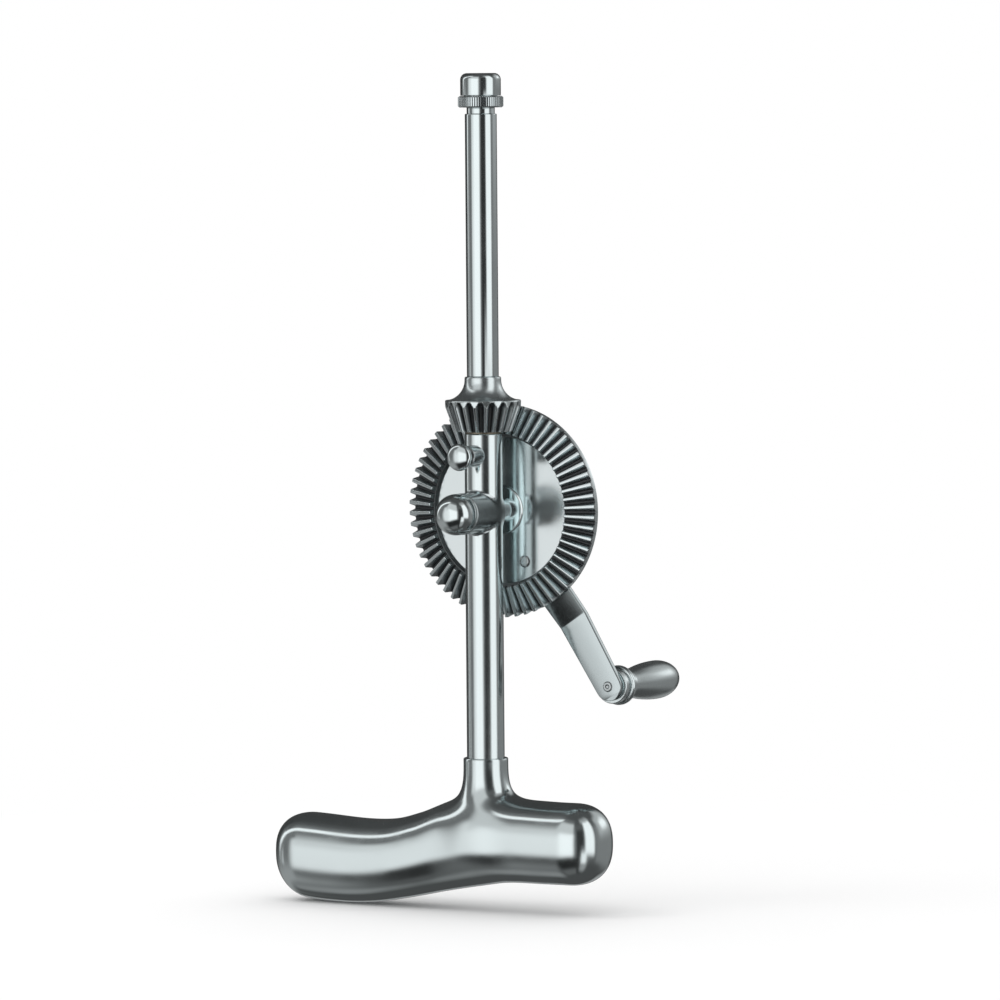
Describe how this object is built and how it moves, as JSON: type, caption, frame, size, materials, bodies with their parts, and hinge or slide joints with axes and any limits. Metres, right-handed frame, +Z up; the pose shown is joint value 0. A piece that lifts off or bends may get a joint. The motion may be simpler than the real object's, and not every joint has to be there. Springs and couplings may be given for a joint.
{
  "type": "hand drill",
  "caption": "Small hand drill: T-shaped palm handle, straight frame tube, side crank on a large open bevel gear that turns a pinion, long spindle and slim jaw chuck on top.",
  "frame": {"origin": "on the spindle's axis, at the underside of the palm handle", "axes": "+Z up the spindle towards the chuck, +Y along the crank axle to the gear's side, -X along the palm handle's long lobe"},
  "size_m": [0.1278, 0.0883, 0.2837],
  "materials": {
    "polished": "bright polished plating",
    "satin": "fine satin plating",
    "machined": "turned steel",
    "bronze": "bearing bronze",
    "spring_steel": "spring wire"
  },
  "bodies": {
    "frame": {"palm_handle": "polished", "frame_tube": "polished", "spindle_bush": "bronze", "thrust_washer": "bronze", "axle_boss": "polished", "axle_bush": "machined", "catch_housing": "machined"},
    "crank": {"axle": "machined", "axle_ring": "polished", "axle_cap": "polished", "gear_hub": "machined", "gear_wheel": "polished", "crank_arm": "satin", "arm_rivet": "machined", "knob_pin": "machined"},
    "knob": {"crank_knob": "polished", "knob_plug": "polished"},
    "catch": {"catch_plunger": "machined", "catch_knob": "polished", "catch_spring": "spring_steel"},
    "spindle": {"spindle": "polished", "pinion": "polished", "pinion_dowel": "machined"},
    "chuck_cap": {"chuck_cap": "polished"},
    "chuck_ring": {"chuck_ring": "polished"},
    "jaw_1": {"chuck_jaw_1": "machined"},
    "jaw_2": {"chuck_jaw_2": "machined"},
    "jaw_3": {"chuck_jaw_3": "machined"}
  },
  "joints": [
    {"name": "crank_turn", "type": "hinge", "parent": "frame", "child": "crank", "pos_m": [0, 0, 0.127], "axis": [0, 1, 0], "continuous": true},
    {"name": "spindle_spin", "type": "hinge", "parent": "frame", "child": "spindle", "pos_m": [0, 0, 0.127], "axis": [0, 0, 1], "continuous": true},
    {"name": "knob_spin", "type": "hinge", "parent": "crank", "child": "knob", "pos_m": [0.03678, 0.0216, 0.06744], "axis": [0, 1, 0], "continuous": true},
    {"name": "catch_pull", "type": "slide", "parent": "frame", "child": "catch", "axis": [0, -1, 0], "range_m": [0, 0.0024], "stiffness_N_per_m": 400, "springref_m": -0.003, "deforming": ["catch_spring"]},
    {"name": "cap_slide", "type": "slide", "parent": "spindle", "child": "chuck_cap", "axis": [0, 0, -1], "range_m": [0, 0.0018]},
    {"name": "ring_turn", "type": "hinge", "parent": "chuck_cap", "child": "chuck_ring", "pos_m": [0, 0, 0.2657], "axis": [0, 0, -1], "range_deg": [0, 720]},
    {"name": "jaw_1_slide", "type": "slide", "parent": "spindle", "child": "jaw_1", "axis": [-1, 0, 0], "range_m": [0, 0.00104]},
    {"name": "jaw_2_slide", "type": "slide", "parent": "spindle", "child": "jaw_2", "axis": [0.5, -0.866, 0], "range_m": [0, 0.00104]},
    {"name": "jaw_3_slide", "type": "slide", "parent": "spindle", "child": "jaw_3", "axis": [0.5, 0.866, 0], "range_m": [0, 0.00104]}
  ],
  "couplings": [
    {"joint": "spindle_spin", "follows": "crank_turn", "ratio": -3},
    {"joint": "ring_turn", "follows": "cap_slide", "rad_per_m": 6981.3},
    {"joint": "jaw_1_slide", "follows": "cap_slide", "ratio": 0.57733},
    {"joint": "jaw_2_slide", "follows": "cap_slide", "ratio": 0.57733},
    {"joint": "jaw_3_slide", "follows": "cap_slide", "ratio": 0.57733}
  ]
}
